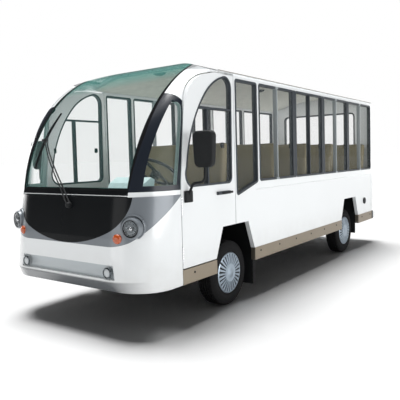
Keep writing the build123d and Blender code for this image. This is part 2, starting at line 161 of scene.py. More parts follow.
class Finish:
    """One material, built from nodes."""

    def __init__(self, name):
        self.material = bpy.data.materials.new(name)
        self.material.use_nodes = True
        self.tree = self.material.node_tree
        self.shader = self.tree.nodes["Principled BSDF"]
        self.place = self.add("ShaderNodeTexCoord", {}, {}).outputs["Object"]

    def feed(self, socket, value):
        """Link a socket to a wire or an output, or set its value."""
        if isinstance(value, Wire):
            value = value.socket
        if isinstance(value, bpy.types.NodeSocket):
            self.tree.links.new(value, socket)
        elif socket.type == "RGBA":
            socket.default_value = (*value, 1.0)
        else:
            socket.default_value = value

    def add(self, kind, settings, sockets):
        made = self.tree.nodes.new(kind)
        for key, value in settings.items():
            setattr(made, key, value)
        for key, value in sockets.items():
            self.feed(made.inputs[key], value)
        return made

    def axis(self, name):
        split = self.add("ShaderNodeSeparateXYZ", {}, {0: self.place})
        return Wire(self, split.outputs[name])

    def noise(self, scale, detail, stretch=None):
        where = self.place
        if stretch:
            mapped = self.add("ShaderNodeMapping", {}, {"Vector": where, "Scale": stretch})
            where = mapped.outputs[0]
        made = self.add("ShaderNodeTexNoise", {}, {"Vector": where, "Scale": scale, "Detail": detail})
        return Wire(self, made.outputs["Fac"])

    def cells(self, scale):
        made = self.add("ShaderNodeTexVoronoi", {}, {"Vector": self.place, "Scale": scale})
        return Wire(self, made.outputs["Distance"])

    def mix(self, factor, first, second):
        made = self.add("ShaderNodeMix", {"data_type": "RGBA"}, {0: factor, 6: first, 7: second})
        return made.outputs[2]

    def set(self, **sockets):
        for key, value in sockets.items():
            self.feed(self.shader.inputs[key.replace("_", " ")], value)

    def bump(self, height, strength, distance):
        sockets = {"Height": height, "Strength": strength, "Distance": distance}
        self.set(Normal=self.add("ShaderNodeBump", {}, sockets).outputs[0])


def scaled(colour, factor):
    return [channel * factor for channel in colour]


# Marks that the finishes carry, and a painted shade under the nose, placed from the road, the middle plane
# and the front axle
DUST = (0.36, 0.33, 0.28)
DUST_TOP = 0.5
# Grey of the painted shade on the downward chamfer under the nose
LIP_SHADE = (0.1, 0.11, 0.12)
LIP_TOP = 0.428
LIP_FRONT = 1.0
LIP_HALF_WIDTH = 0.62
PALE_BAR = (0.3, 0.33, 0.34)
PALE_BARS = (-0.797, -2.3555, -3.2245)
PALE_BAR_HALF = 0.03
PRINT_BLACK = (0.006, 0.006, 0.007)
BORDER_Y = 0.614
BORDER_FOOT = 1.085
BORDER_WIDENS_UNDER = 1.46
BORDER_GROWTH = 0.03
LEG_LEAN = 0.44
LEG_LINE = 1.484


def painted(name, colour, shade, rough, coat, peel, shine=0.5, metallic=0.0, dust_and_shade=0.0):
    """Paint with a faint peel and uneven tone; if asked, road dust low down and painted shade on the lip
    under the nose.
    """
    paint = Finish(name)
    tone = paint.mix(paint.noise(scale=2.2, detail=4.0), colour, shade)
    if dust_and_shade:
        height = paint.axis("Z")
        dust = height.below(DUST_TOP, soft=0.32) * paint.noise(scale=9.0, detail=6.0) * dust_and_shade
        tone = paint.mix(dust, tone, DUST)
        # Painted shade: grey on the downward chamfer under the nose, where shade falls
        lip_shade = height.below(LIP_TOP, soft=0.012) * paint.axis("X").above(FRONT_AXLE_X + LIP_FRONT, soft=0.3)
        lip_shade = lip_shade * paint.axis("Y").size().below(LIP_HALF_WIDTH, soft=0.25)
        tone = paint.mix(lip_shade, tone, LIP_SHADE)
    paint.set(
        Base_Color=tone,
        Metallic=metallic,
        Roughness=rough + paint.noise(scale=40.0, detail=2.0) * 0.06,
        Coat_Weight=coat,
        Coat_Roughness=0.05,
        Specular_IOR_Level=shine,
    )
    fleck = paint.noise(scale=900.0, detail=1.0)
    paint.bump(fleck * 0.4 + paint.noise(scale=160.0, detail=2.0), strength=peel, distance=0.0006)
    return paint.material


def moulded(name, colour, rough, grain, shine=0.3, pale_at=()):
    """Matt moulded plastic or rubber with a fine grain, paler at the given places along the bus."""
    plastic = Finish(name)
    lighter = [channel * 1.5 + 0.004 for channel in colour]
    tone = plastic.mix(plastic.noise(scale=14.0, detail=5.0), colour, lighter)
    for x in pale_at:
        off_bar = (plastic.axis("X") - (FRONT_AXLE_X + x)).size()
        tone = plastic.mix(off_bar.below(PALE_BAR_HALF, soft=0.004), tone, PALE_BAR)
    plastic.set(
        Base_Color=tone,
        Roughness=rough + plastic.noise(scale=60.0, detail=3.0) * 0.15,
        Specular_IOR_Level=shine,
    )
    plastic.bump(plastic.cells(grain), strength=0.22, distance=0.0008)
    return plastic.material


def clear_glass(name, colour, veil, graze, border_of=None):
    """Thin tinted glass that closes up at a slant; black where a border is printed on it."""
    glass = Finish(name)
    facing = Wire(glass, glass.add("ShaderNodeLayerWeight", {}, {"Blend": 0.5}).outputs["Facing"])
    streak = glass.noise(scale=1.6, detail=3.0, stretch=(1.0, 1.0, 3.0))
    alpha = facing.above(graze, soft=0.26) * 0.85 + veil + streak * 0.02
    tone = glass.mix(streak, colour, scaled(colour, 0.88))
    if border_of:
        border = border_of(glass)
        tone = glass.mix(border, tone, PRINT_BLACK)
        alpha = alpha + border
    glass.set(Base_Color=tone, Roughness=0.02 + streak * 0.02, Alpha=alpha.clamped(), Coat_Weight=0.4)
    return glass.material


def screen_border(glass):
    """Black printed border along the sides and foot of the windscreen."""
    growth = glass.axis("Z").below(BORDER_WIDENS_UNDER, soft=0.8) * BORDER_GROWTH
    sides = (glass.axis("Y").size() + growth).above(BORDER_Y, soft=0.004)
    foot = glass.axis("Z").below(BORDER_FOOT, soft=0.004)
    return (sides + foot).clamped()


def lens(name, colour, alpha, ribs):
    """Moulded lamp lens with fine upright ribs."""
    glow = Finish(name)
    sockets = {"Vector": glow.place, "Scale": ribs, "Distortion": 0.4}
    wave = glow.add("ShaderNodeTexWave", {"bands_direction": "Y"}, sockets)
    ridge = Wire(glow, wave.outputs["Fac"])
    glow.set(
        Base_Color=glow.mix(ridge * 0.4, colour, scaled(colour, 0.6)),
        Roughness=0.08 + ridge * 0.06,
        Coat_Weight=0.8,
        Coat_Roughness=0.03,
        Alpha=alpha,
    )
    glow.bump(ridge, strength=0.4, distance=0.001)
    return glow.material


def bare_metal(name, colour, rough, wear=0.3, stretch=(1, 1, 1)):
    """Brushed or polished metal with fine scratches."""
    metal = Finish(name)
    brush = metal.noise(scale=220.0, detail=3.0, stretch=stretch)
    stain = metal.noise(scale=6.0, detail=5.0)
    metal.set(
        Base_Color=metal.mix(stain * wear, colour, scaled(colour, 0.7)),
        Metallic=1.0,
        Roughness=rough + brush * 0.18,
    )
    metal.bump(brush, strength=0.12, distance=0.0005)
    return metal.material


def leather(name, colour):
    """Grained seat leather, paler where it is worn."""
    hide = Finish(name)
    worn = hide.noise(scale=7.0, detail=5.0)
    hide.set(
        Base_Color=hide.mix(worn, scaled(colour, 0.8), scaled(colour, 1.25)),
        Roughness=0.46 + worn * 0.16,
        Coat_Weight=0.15,
    )
    crease = hide.noise(scale=60.0, detail=4.0)
    hide.bump(hide.cells(420.0) + crease * 0.6, strength=0.35, distance=0.0012)
    return hide.material


def lined_frame(name, colour, lining):
    """Black gloss outside, with a pale lining on the inner faces behind the front leg."""
    surround = Finish(name)
    normal = surround.add("ShaderNodeTexCoord", {}, {}).outputs["Normal"]
    split = surround.add("ShaderNodeSeparateXYZ", {}, {0: normal})
    outward = Wire(surround, split.outputs["Y"]) * surround.axis("Y").math("SIGN")
    leaning = surround.axis("X") + surround.axis("Z") * LEG_LEAN
    behind = leaning.below(FRONT_AXLE_X + LEG_LINE, soft=0.004)
    surround.set(
        Base_Color=surround.mix(outward.below(0.3, soft=0.02) * behind, colour, lining),
        Roughness=0.22 + surround.noise(scale=40.0, detail=2.0) * 0.06,
        Specular_IOR_Level=0.3,
    )
    surround.bump(surround.noise(scale=160.0, detail=2.0), strength=0.02, distance=0.0006)
    return surround.material


# Paints: slot, name, colour, shade, roughness, clear coat, peel, shine where it isn't the usual one
PAINTS = (
    ("black_panel", "Black gloss panel", (0.005, 0.006, 0.007), (0.009, 0.01, 0.011), 0.2, 0.0, 0.02, 0.15),
    ("chassis_paint", "Chassis paint", (0.012, 0.012, 0.012), (0.03, 0.028, 0.026), 0.5, 0.1, 0.1),
    ("spring_steel", "Spring paint", (0.02, 0.02, 0.02), (0.05, 0.045, 0.04), 0.5, 0.0, 0.15),
    ("battery_case", "Battery case", (0.09, 0.095, 0.1), (0.13, 0.135, 0.14), 0.4, 0.1, 0.05),
    ("plinth_paint", "Seat box paint", (0.16, 0.16, 0.17), (0.2, 0.2, 0.21), 0.45, 0.1, 0.05),
    # Grey sheet laid in the bumper recess: painted shade
    ("trough_grey", "Trough grey", (0.5, 0.54, 0.56), (0.44, 0.48, 0.5), 0.3, 0.3, 0.02),
)
# Plastics and rubbers: slot, name, colour, roughness, grain scale, shine as above, pale places
FRAME_TONE = (0.03, 0.036, 0.043)
PLASTICS = (
    ("frame_black", "Dark frame", FRAME_TONE, 0.42, 900.0),
    ("sash", "Window sash", FRAME_TONE, 0.42, 900.0, 0.3, PALE_BARS),
    ("black_plastic", "Black plastic", (0.008, 0.009, 0.01), 0.5, 600.0, 0.2),
    ("floor_sheet", "Floor sheet", (0.12, 0.12, 0.125), 0.6, 300.0),
    ("dash_plastic", "Dashboard", (0.4, 0.52, 0.52), 0.45, 700.0),
    ("tyre_rubber", "Tyre rubber", (0.007, 0.007, 0.0075), 0.75, 260.0, 0.15),
    ("cover_slot", "Cover slot", (0.012, 0.013, 0.014), 0.6, 500.0),
    ("lining", "Roof lining", (0.6, 0.61, 0.56), 0.7, 500.0),
    # Grey line in the rain gutters: painted shade
    ("gutter_grey", "Gutter seal", (0.2, 0.19, 0.17), 0.5, 600.0),
)
# Lenses: slot, name, colour, alpha, rib scale
LENSES = (
    ("amber_lens", "Amber lens", (0.52, 0.085, 0.01), 1.0, 90.0),
    ("lamp_clear", "Clear lens", (0.3, 0.33, 0.35), 0.14, 70.0),
    ("red_lens", "Red lens", (0.5, 0.012, 0.01), 1.0, 60.0),
    ("fog_glass", "Fog glass", (0.62, 0.66, 0.68), 1.0, 80.0),
)
# Bright metals: slot, name, colour, roughness, wear
METALS = (
    ("lamp_chrome", "Bright lamp metal", (0.82, 0.83, 0.85), 0.05, 0.1),
    ("wheel_cover", "Wheel cover", (0.39, 0.46, 0.53), 0.3, 0.15),
    ("lamp_core", "Lamp bowl", (0.12, 0.135, 0.145), 0.12, 0.6),
)
# Side panes: slot, name, colour, veil, slant at which they close up
PANES = (
    ("side_glass", "Window glass", (0.4, 0.44, 0.43), 0.05, 0.9),
    ("quarter_pane", "Quarter pane", (0.5, 0.68, 0.65), 0.03, 0.58),
)
FINISH_TABLES = (
    (painted, PAINTS), (moulded, PLASTICS), (lens, LENSES), (bare_metal, METALS), (clear_glass, PANES),
)
BAND_SHADE = (0.175, 0.195, 0.215)
# Black for the quarter window frames, tinted bluish as a painted sheen
QUARTER_BLACK_AND_SHEEN = (0.014, 0.018, 0.026)
QUARTER_LINING = (0.36, 0.46, 0.45)
SILL_BRUSH = (1, 40, 60)
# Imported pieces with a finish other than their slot's
OWN_COATS = (
    ("quarter_glass", "quarter_pane"),
    ("quarter_frames", "frame_gloss"),
    ("window_frames", "sash"),
    ("headlamps", "silver_band"),
)
FINISHES = {}


class MINIBUS_OT_finishes(bpy.types.Operator):
    """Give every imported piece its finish"""

    bl_idname = "minibus.finishes"
    bl_label = "Finishes"

    def execute(self, context):
        colours = context.scene.minibus_colours
        white = colours.body
        for maker, rows in FINISH_TABLES:
            for slot, *values in rows:
                FINISHES[slot] = maker(*values)
        FINISHES.update(
            white_shell=painted(
                "White gel coat", white, scaled(white, 0.96), rough=0.2, coat=0.5, peel=0.03, dust_and_shade=0.35
            ),
            waist_white=painted("White line", white, scaled(white, 0.97), rough=0.3, coat=0.3, peel=0.02),
            silver_band=painted(
                "Silver band", colours.band, BAND_SHADE, rough=0.34, coat=0.3, peel=0.03, metallic=0.25
            ),
            screen_glass=clear_glass(
                "Windscreen glass", colours.glass, veil=0.05, graze=0.8, border_of=screen_border
            ),
            sill_metal=bare_metal("Sill metal", colours.sill, rough=0.3, stretch=SILL_BRUSH),
            seat_cover=leather("Khaki leather", colours.seat),
            frame_gloss=lined_frame("Quarter frame", QUARTER_BLACK_AND_SHEEN, QUARTER_LINING),
        )
        for part in frame["record"]["subparts"]:
            piece = frame["nodes"][part["node"]]
            piece.data.materials.clear()
            piece.data.materials.append(FINISHES[part["material_slot"]])
        for node, coat in OWN_COATS:
            frame["nodes"][node].data.materials[0] = FINISHES[coat]
        return {"FINISHED"}


def deselect():
    if bpy.context.object and bpy.context.object.mode != "OBJECT":
        bpy.ops.object.mode_set(mode="OBJECT")
    bpy.ops.object.select_all(action="DESELECT")


def alone(piece):
    """Make a piece the only selected one."""
    deselect()
    piece.select_set(True)
    bpy.context.view_layer.objects.active = piece
    return piece


def edit_all(piece):
    """Enter edit mode with the whole mesh selected."""
    alone(piece)
    bpy.ops.object.mode_set(mode="EDIT")
    bpy.ops.mesh.select_all(action="SELECT")


def start(kind, name, scale=(1, 1, 1), **settings):
    """A primitive at its size and place, with the place in its mesh."""
    deselect()
    getattr(bpy.ops.mesh, "primitive_" + kind + "_add")(**settings)
    piece = bpy.context.object
    piece.name = name
    piece.data.name = name
    piece.scale = scale
    bpy.ops.object.transform_apply(location=True, rotation=True, scale=True)
    return piece


def shape(piece, kind, **settings):
    """Add a modifier and apply it."""
    alone(piece)
    made = piece.modifiers.new(kind.title(), kind)
    for key, value in settings.items():
        setattr(made, key, value)
    bpy.ops.object.modifier_apply(modifier=made.name)
    return piece


def soften(piece, width, segments):
    """Round the edges that turn sharply."""
    return shape(piece, "BEVEL", width=width, segments=segments, limit_method="ANGLE", angle_limit=0.6)


def slab(name, xs, ys, zs, edge, segments=2):
    """Rounded block over ranges measured forward of the front axle, to the left and up."""
    low, high = (at_axle(*corner) for corner in zip(xs, ys, zs))
    piece = start("cube", name, scale=high - low, size=1, location=(low + high) / 2)
    return soften(piece, edge, segments)


def choose(piece, test):
    """Enter edit mode with only the faces that pass the test selected."""
    alone(piece)
    bpy.context.tool_settings.mesh_select_mode = (False, False, True)
    mesh = piece.data
    for group in (mesh.vertices, mesh.edges):
        group.foreach_set("select", [False] * len(group))
    mesh.polygons.foreach_set("select", [bool(test(face)) for face in mesh.polygons])
    bpy.ops.object.mode_set(mode="EDIT")


def sink(piece, test, margin, depth, coat_index=None):
    """Inset the chosen faces one by one and push them in."""
    choose(piece, test)
    bpy.ops.mesh.inset(thickness=margin, depth=-depth, use_individual=True)
    if coat_index is not None:
        piece.active_material_index = coat_index
        bpy.ops.object.material_slot_assign()
    bpy.ops.object.mode_set(mode="OBJECT")


def welded(piece):
    """Merge doubled points, drop loose ones and turn the faces outward."""
    edit_all(piece)
    bpy.ops.mesh.remove_doubles(threshold=1e-5)
    bpy.ops.mesh.delete_loose(use_verts=True, use_edges=True, use_faces=False)
    bpy.ops.mesh.select_all(action="SELECT")
    bpy.ops.mesh.normals_make_consistent(inside=False)
    bpy.ops.object.mode_set(mode="OBJECT")
    return piece


def turned(name, profile, steps):
    """A profile of (radius, height) points spun round the Z axis."""
    piece = start("circle", name, vertices=len(profile), radius=1, fill_type="NOTHING")
    for vertex, (radius, height) in zip(piece.data.vertices, profile):
        vertex.co = (radius, 0, height)
    edit_all(piece)
    bpy.ops.mesh.spin(steps=steps, angle=2 * math.pi, center=(0, 0, 0), axis=UP)
    return welded(piece)


def bar(name, points, radius, smooth=True):
    """Round bar along a line of points."""
    deselect()
    bpy.ops.curve.primitive_bezier_curve_add()
    piece = bpy.context.object
    piece.name = name
    curve = piece.data
    curve.splines.clear()
    run = curve.splines.new("NURBS" if smooth else "POLY")
    run.points.add(len(points) - 1)
    for knot, point in zip(run.points, points):
        knot.co = (*point, 1)
    if smooth:
        run.use_endpoint_u = True
        run.order_u = 3
        run.resolution_u = 6
    curve.bevel_depth = radius
    curve.bevel_resolution = 3
    curve.use_fill_caps = True
    bpy.ops.object.convert(target="MESH")
    piece = bpy.context.object
    piece.data.name = name
    return welded(piece)


def copied(piece, name, move):
    """A copy with its own mesh, moved, turned or mirrored."""
    twin = piece.copy()
    twin.data = piece.data.copy()
    twin.name = name
    twin.data.name = name
    bpy.context.scene.collection.objects.link(twin)
    twin.data.transform(move)
    if move.determinant() < 0:
        twin.data.flip_normals()
    return twin


def done(piece, body, slot, coat=None, angle=40):
    """Smooth a piece, give it its finish and let it ride on its body."""
    alone(piece)
    bpy.ops.object.shade_smooth_by_angle(angle=math.radians(angle))
    if not piece.data.materials:
        piece.data.materials.append(FINISHES[coat or slot])
    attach(piece, body)
    return piece


def joined(name, pieces):
    """Several pieces as one mesh."""
    whole = alone(pieces[0])
    for piece in pieces:
        piece.select_set(True)
    bpy.ops.object.join()
    whole.name = name
    whole.data.name = name
    return whole


def repeated(name, profile, steps, places):
    """One turned shape at several places, as one mesh."""
    pattern = turned(name + "_pattern", profile, steps)
    pieces = [copied(pattern, name, place) for place in places]
    bpy.data.objects.remove(pattern)
    return joined(name, pieces)


def both_sides(piece, slot, bodies=(ROOT, ROOT), coat=None, angle=40):
    """Finish a left-hand piece and its mirrored twin, named after it."""
    name = piece.name
    twin = copied(piece, name + "_right", FLIP)
    piece.name = name + "_left"
    piece.data.name = piece.name
    done(piece, bodies[0], slot, coat, angle)
    done(twin, bodies[1], slot, coat, angle)


def touch(node_names, origin, direction):
    """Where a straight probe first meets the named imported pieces."""
    origin = Vector(origin)
    hits = []
    for name in node_names:
        hit, place, _, _ = frame["nodes"][name].ray_cast(origin, Vector(direction))
        if hit:
            hits.append(place.copy())
    if not hits:
        raise RuntimeError("the probe met none of " + ", ".join(node_names))
    return min(hits, key=lambda place: (place - origin).length)


# Outlines as (radius, distance from the wheel's middle plane)
TYRE_SIDE = (
    (0.172, 0.07), (0.186, 0.0765), (0.2, 0.0803), (0.22, 0.0822), (0.24, 0.0802),
    (0.25, 0.0762), (0.2525, 0.0772), (0.257, 0.0745), (0.2665, 0.069), (0.2755, 0.0632),
    (0.2788, 0.054), (0.2796, 0.04), (0.2735, 0.0385), (0.2735, 0.032), (0.2802, 0.0305),
    (0.2806, 0.0155), (0.274, 0.014), (0.274, 0.008), (0.2809, 0.0065),
)
COVER_LINE = (
    (0.0, 0.0915), (0.026, 0.0908), (0.032, 0.0885), (0.066, 0.0868), (0.072, 0.0882),
    (0.078, 0.0876), (0.166, 0.0792), (0.169, 0.0796), (0.173, 0.0786), (0.1775, 0.0752),
    (0.179, 0.0715), (0.1765, 0.0712), (0.15, 0.0725), (0.06, 0.0815), (0.0, 0.0815),
)
TYRE_STEPS = 66
# Tread blocks: least radius, inner and outer distance from the middle, every how many steps, margin
SHOULDER_BLOCKS = (0.274, 0.041, 0.063, 2, 0.0045)
RIB_BLOCKS = (0.278, 0.016, 0.03, 3, 0.006)
SLOT_ZONE = (0.1, 0.14)
SLOT_MARGIN = 0.0018
SLOT_DEPTH = 0.0045


def step_number(face, steps):
    """Which step of a turned piece a face lies in."""
    return int(math.floor(math.atan2(face.center.y, face.center.x) * steps / (2 * math.pi) + 0.001))


def treaded_tyre(depth):
    far_side = [(radius, -height) for radius, height in reversed(TYRE_SIDE)]
    tyre = turned("tyre_pattern", list(TYRE_SIDE) + far_side, TYRE_STEPS)
    for least_radius, inner, outer, every, margin in (SHOULDER_BLOCKS, RIB_BLOCKS):

        def in_block(face):
            on_tread = math.hypot(face.center.x, face.center.y) > least_radius
            in_row = inner < abs(face.center.z) < outer
            return on_tread and in_row and step_number(face, TYRE_STEPS) % every == 0

        sink(tyre, in_block, margin, depth)
    return tyre


def slotted_cover(slots):
    steps = 2 * slots
    cover = turned("cover_pattern", COVER_LINE, steps)
    cover.data.materials.append(FINISHES["wheel_cover"])
    cover.data.materials.append(FINISHES["cover_slot"])

    def in_slot(face):
        in_zone = SLOT_ZONE[0] < math.hypot(face.center.x, face.center.y) < SLOT_ZONE[1]
        return in_zone and face.normal.z > 0.5 and step_number(face, steps) % 2 == 0

    sink(cover, in_slot, SLOT_MARGIN, SLOT_DEPTH, coat_index=1)
    return cover


class MINIBUS_OT_wheels(bpy.types.Operator):
    """Make the treaded tyres and the slotted wheel covers"""

    bl_idname = "minibus.wheels"
    bl_label = "Wheels"

    def execute(self, context):
        sizes = context.scene.minibus_sizes
        tyre = treaded_tyre(sizes.tread_depth)
        cover = slotted_cover(sizes.cover_slots)
        for end, x in (("front", FRONT_AXLE_X), ("rear", REAR_AXLE_X)):
            for side, sign in SIDES:
                place = Matrix.Translation((x, sign * WHEEL_Y, WHEEL_R)) @ turn(-90 * sign, "X")
                corner = end + "_" + side
                tread = copied(tyre, "tread_" + corner, place)
                done(tread, "wheel_" + corner, "tyre_rubber", angle=28)
                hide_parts("tyre_" + corner)
                done(copied(cover, "cover_" + corner, place), "wheel_" + corner, "wheel_cover", angle=25)
        bpy.data.objects.remove(tyre)
        bpy.data.objects.remove(cover)
        return {"FINISHED"}


# Seats: the back's foot from the front axle, right edge, left edge
SEAT_PLACES = (
    (0.0, 0.16, 0.64), (0.0, -0.4, 0.08),
    (-0.82, 0.06, 0.73), (-0.82, -0.73, -0.33),
    (-1.56, 0.06, 0.73), (-1.56, -0.73, -0.33),
    (-2.3, 0.06, 0.73), (-2.3, -0.73, -0.33),
    (-3.48, -0.73, 0.73),
)
# Pads: name, node, reach in X from the back's foot, reach in Z, axis that the face looks along, lean
PADS = (
    ("soft_cushions", "seat_cushions", (0.02, 0.45), (0.85, 0.95), 2, 0.0),
    ("soft_backs", "seat_backs", (-0.085, 0.01), (0.85, 1.415), 0, -0.132),
)
PLACE_WIDTH = 0.45
CHANNEL_SPREAD = 0.42
PAD_CUTS = 23
PAD_ROUND = 0.03
SEAM_WIDTH = 0.007
SEAM_DEPTH = 0.007
HEM_AT = 0.78
SIDE_PULL = 0.006
END_PULL = 0.005


def seam_places(width):
    """Where the sewn channels run across a seat, from -1 to 1."""
    places = max(1, round(width / PLACE_WIDTH))
    channels = []
    for place in range(places):
        middle = -1 + (2 * place + 1) / places
        channels += [middle - CHANNEL_SPREAD / places, middle + CHANNEL_SPREAD / places]
    return channels + [-1 + 2 * place / places for place in range(1, places)]


def stuffed(name, low, high, face, crown, channels, lean):
    """A closed pad with a crowned face, sides pulled in and sewn channels along it."""
    low, high = Vector(low), Vector(high)
    middle = (low + high) / 2
    half = (high - low) / 2
    along = 0 if face == 2 else 2
    piece = start("cube", name, scale=high - low, size=1, location=middle)
    edit_all(piece)
    bpy.ops.mesh.subdivide(number_cuts=PAD_CUTS)
    bpy.ops.object.mode_set(mode="OBJECT")
    for vertex in piece.data.vertices:
        point = vertex.co
        core = Vector([min(max(point[i], low[i] + PAD_ROUND), high[i] - PAD_ROUND) for i in range(3)])
        out = point - core
        if out.length > 1e-9:
            point = core + out.normalized() * PAD_ROUND
        unit = Vector([(point[i] - middle[i]) / half[i] for i in range(3)])
        swell = (1 - unit.y**4) * (1 - unit[along] ** 4)
        rise = (unit[face] + 1) / 2
        seam = 0.0
        for place in channels:
            seam += math.exp(-(((point.y - middle.y) - place * half.y) / SEAM_WIDTH) ** 2)
        seam += math.exp(-((abs(unit[along]) - HEM_AT) * half[along] / SEAM_WIDTH) ** 2)
        inner = max(0.0, 1 - unit.y**8) * max(0.0, 1 - unit[along] ** 8)
        point[face] += rise * (crown * swell - SEAM_DEPTH * min(1.0, seam) * inner)
        point.y -= math.copysign(SIDE_PULL, unit.y) * abs(unit.y) ** 3 * (1 - unit[along] ** 2)
        point[along] -= math.copysign(END_PULL, unit[along]) * abs(unit[along]) ** 3 * (1 - unit.y**2)
        point.x += lean * (point.z - low.z)
        vertex.co = point
    return shape(piece, "SUBSURF", levels=1, render_levels=1)


class MINIBUS_OT_seats(bpy.types.Operator):
    """Make the soft seat cushions and backs"""

    bl_idname = "minibus.seats"
    bl_label = "Seats"

    def execute(self, context):
        crown = context.scene.minibus_sizes.cushion_crown
        for name, node, (rear, front), (low, high), face, lean in PADS:
            pads = []
            for x, right, left in SEAT_PLACES:
                near = (FRONT_AXLE_X + x + rear, right, low)
                far = (FRONT_AXLE_X + x + front, left, high)
                pads.append(stuffed(name, near, far, face, crown, seam_places(left - right), lean))
            piece = done(joined(name, pads), ROOT, "seat_cover", angle=60)
            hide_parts(node)
        return {"FINISHED"}


# Lamp places: forward of the front axle, left, up, degrees turned outward
HEAD_LAMP = (1.122, 0.64, 0.807, 12)
COLLAR = (1.128, 0.64, 0.812, 26)
SIGNAL_LAMP = (1.178, 0.538, 0.732, 16)
FOG_LAMP = (1.216, 0.463, 0.489, 0)
# Turned lamp pieces: name, place, slot, coat if it isn't the slot's, steps, (radius, height) points
LAMP_PIECES = (
    ("lamp_collar", COLLAR, "silver_band", None, 56, (
        (0.081, -0.06), (0.081, -0.004), (0.085, 0.001), (0.091, -0.003), (0.094, -0.06),
    )),
    ("lamp_barrel", HEAD_LAMP, "silver_band", None, 56, (
        (0.061, 0.03), (0.062, 0.0405), (0.0665, 0.0425), (0.0725, 0.0385), (0.0755, 0.03),
        (0.0765, -0.085), (0.061, -0.085),
    )),
    ("lamp_rim", HEAD_LAMP, "black_plastic", None, 48, (
        (0.056, 0.03), (0.056, 0.04), (0.0585, 0.0425), (0.0622, 0.0415), (0.0622, 0.03),
    )),
    ("lamp_bowl", HEAD_LAMP, "lamp_chrome", "lamp_core", 24, (
        (0, 0.029), (0.012, 0.029), (0.013, 0.037), (0.02, 0.037), (0.021, 0.03), (0.03, 0.0295),
        (0.044, 0.032), (0.0565, 0.038), (0.0565, 0.027), (0, 0.027),
    )),
    ("lamp_bulb", HEAD_LAMP, "lamp_chrome", None, 24, (
        (0, 0.046), (0.007, 0.045), (0.013, 0.041), (0.015, 0.0365), (0, 0.0365),
    )),
    ("lamp_lens", HEAD_LAMP, "lamp_clear", None, 40, (
        (0, 0.056), (0.02, 0.0545), (0.038, 0.05), (0.05, 0.0445), (0.0562, 0.0395),
        (0.055, 0.0395), (0.049, 0.043), (0.037, 0.0485), (0.019, 0.053), (0, 0.0545),
    )),
    ("signal_lens", SIGNAL_LAMP, "amber_lens", None, 36, (
        (0, 0.026), (0.014, 0.0248), (0.025, 0.02), (0.032, 0.013), (0.0347, 0.0085), (0, 0.0085),
    )),
    ("fog_rim", FOG_LAMP, "lamp_chrome", "lamp_core", 40, (
        (0.031, 0.0), (0.031, 0.008), (0.034, 0.0095), (0.04, 0.006), (0.0405, 0.0),
    )),
    ("fog_lens", FOG_LAMP, "lamp_clear", "fog_glass", 36, (
        (0, 0.0085), (0.016, 0.0078), (0.027, 0.0055), (0.0312, 0.003), (0.0312, 0.0005), (0, 0.0005),
    )),
)
# Tail lamp blocks: name, slot, coat as above, reach in X from the lamp's back, in Y, in Z, edge radius
TAIL_LENS_X = (-0.01, 0.0)
TAIL_LENS_Y = (0.656, 0.754)
TAIL_PIECES = (
    ("tail_frame", "black_plastic", None, (-0.002, 0.02), (0.64, 0.77), (0.61, 0.93), 0.006),
    ("tail_stop", "red_lens", None, TAIL_LENS_X, TAIL_LENS_Y, (0.74, 0.915), 0.005),
    ("tail_turn", "amber_lens", None, TAIL_LENS_X, TAIL_LENS_Y, (0.67, 0.733), 0.005),
    ("tail_reverse", "lamp_clear", "fog_glass", TAIL_LENS_X, TAIL_LENS_Y, (0.626, 0.664), 0.005),
)


def lamp_frame(x, y, z, outward):
    """Place whose Z points out of the left front corner."""
    return Matrix.Translation(at_axle(x, y, z)) @ turn(outward, "Z") @ turn(90, "Y")


class MINIBUS_OT_lamps(bpy.types.Operator):
    """Make the lenses, bowls and rims of the lamps"""

    bl_idname = "minibus.lamps"
    bl_label = "Lamps"

    def execute(self, context):
        for name, place, slot, coat, steps, profile in LAMP_PIECES:
            piece = turned(name, profile, steps)
            piece.data.transform(lamp_frame(*place))
            both_sides(piece, slot, coat=coat, angle=35)
        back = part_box("tail_lamps")[0].x - FRONT_AXLE_X
        for name, slot, coat, (rear, front), ys, zs, edge in TAIL_PIECES:
            piece = slab(name, (back + rear, back + front), ys, zs, edge, segments=3)
            both_sides(piece, slot, coat=coat)
        return {"FINISHED"}


FRONT_SKIN = (
    "front_mask", "nose_panel", "lamp_band", "windscreen", "screen_sill", "front_corners", "quarter_frames",
)
PROBE_X = 4.0
# Wiper places as (left, up)
WIPER_FOOT = (0.03, 0.955)
BLADE_LOW = (-0.49, 1.235)
BLADE_HIGH = (-0.446, 1.7)
ROD_SPREAD = 0.02
ROD_PINCH = 0.6
ROD_RISE = 0.012
ROD_R = 0.0055
ROD_GAP = 0.03
ROD_END_GAP = 0.022
ROD_PARTS = 5
BLADE_R = 0.0045
BLADE_GAP = 0.006
BLADE_PARTS = 8
SPINE_R = 0.006
SPINE_GAP = 0.012
SPINE_BOW = 0.01
HUB_LINE = ((0, 0.03), (0.012, 0.029), (0.02, 0.022), (0.024, 0.01), (0.024, 0.0), (0, 0.0))
HUB_SEAT = 0.012
YOKE_GAP = 0.02
YOKE_BACK = Vector((0.008, 0.03, 0.012))
YOKE_FRONT = Vector((0.012, 0.03, 0.012))


def ahead_of_screen(y, z, gap):
    """A point at a gap ahead of the bus's front skin."""
    spot = touch(FRONT_SKIN, (PROBE_X, y, z), BACK)
    return Vector((spot.x + gap, y, z))


def wiper_rods(middle):
    rods = []
    for shift in (-ROD_SPREAD, ROD_SPREAD):
        foot = (WIPER_FOOT[0] + shift, WIPER_FOOT[1] + ROD_RISE)
        tip = (middle[0] + shift * ROD_PINCH, middle[1] + ROD_RISE)
        points = []
        for part in range(ROD_PARTS + 1):
            gap = ROD_GAP if 0 < part < ROD_PARTS else ROD_END_GAP
            points.append(ahead_of_screen(*part_way(foot, tip, part / ROD_PARTS), gap))
        rods.append(bar("wiper_rod", points, ROD_R))
    return rods


